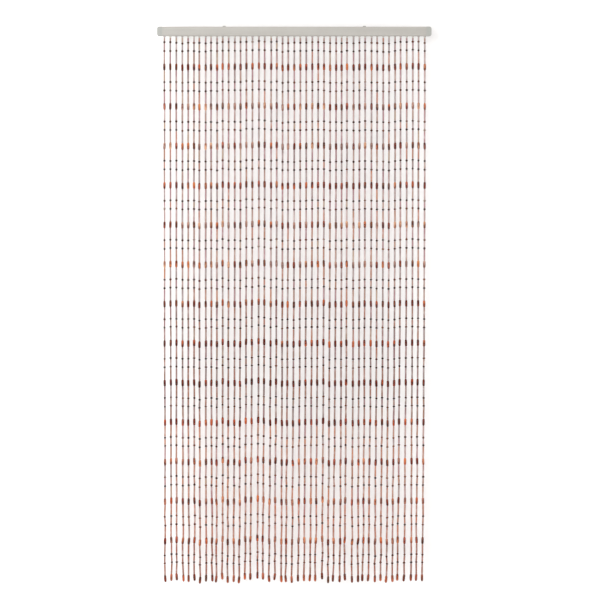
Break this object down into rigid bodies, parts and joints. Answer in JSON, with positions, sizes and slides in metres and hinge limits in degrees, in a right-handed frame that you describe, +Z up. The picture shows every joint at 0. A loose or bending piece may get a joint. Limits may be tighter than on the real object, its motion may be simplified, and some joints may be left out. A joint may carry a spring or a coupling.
{
  "type": "bead curtain with channel rail",
  "caption": "Doorway curtain of clear and marbled bead strings hanging from a slim channel rail with end caps, screening an opening that people walk through.",
  "frame": {"origin": "middle of the rail's back face, on the wall plane", "axes": "+Z up, +X to the right seen from the front, +Y into the wall, so the front faces -Y"},
  "size_m": [0.9, 0.0224, 1.8294],
  "materials": {
    "rail_paint": "satin warm grey paint",
    "cap_plastic": "moulded, slightly rough",
    "lug_plastic": "moulded, slightly rough",
    "bead_resin": "glossy marbled amber and dark brown, with clear tubes between"
  },
  "bodies": {
    "root": {"rail": "rail_paint", "end_cap_left": "cap_plastic", "end_cap_right": "cap_plastic", "hanging_lug_left": "lug_plastic", "hanging_lug_right": "lug_plastic", "strands": "bead_resin"}
  },
  "joints": []
}
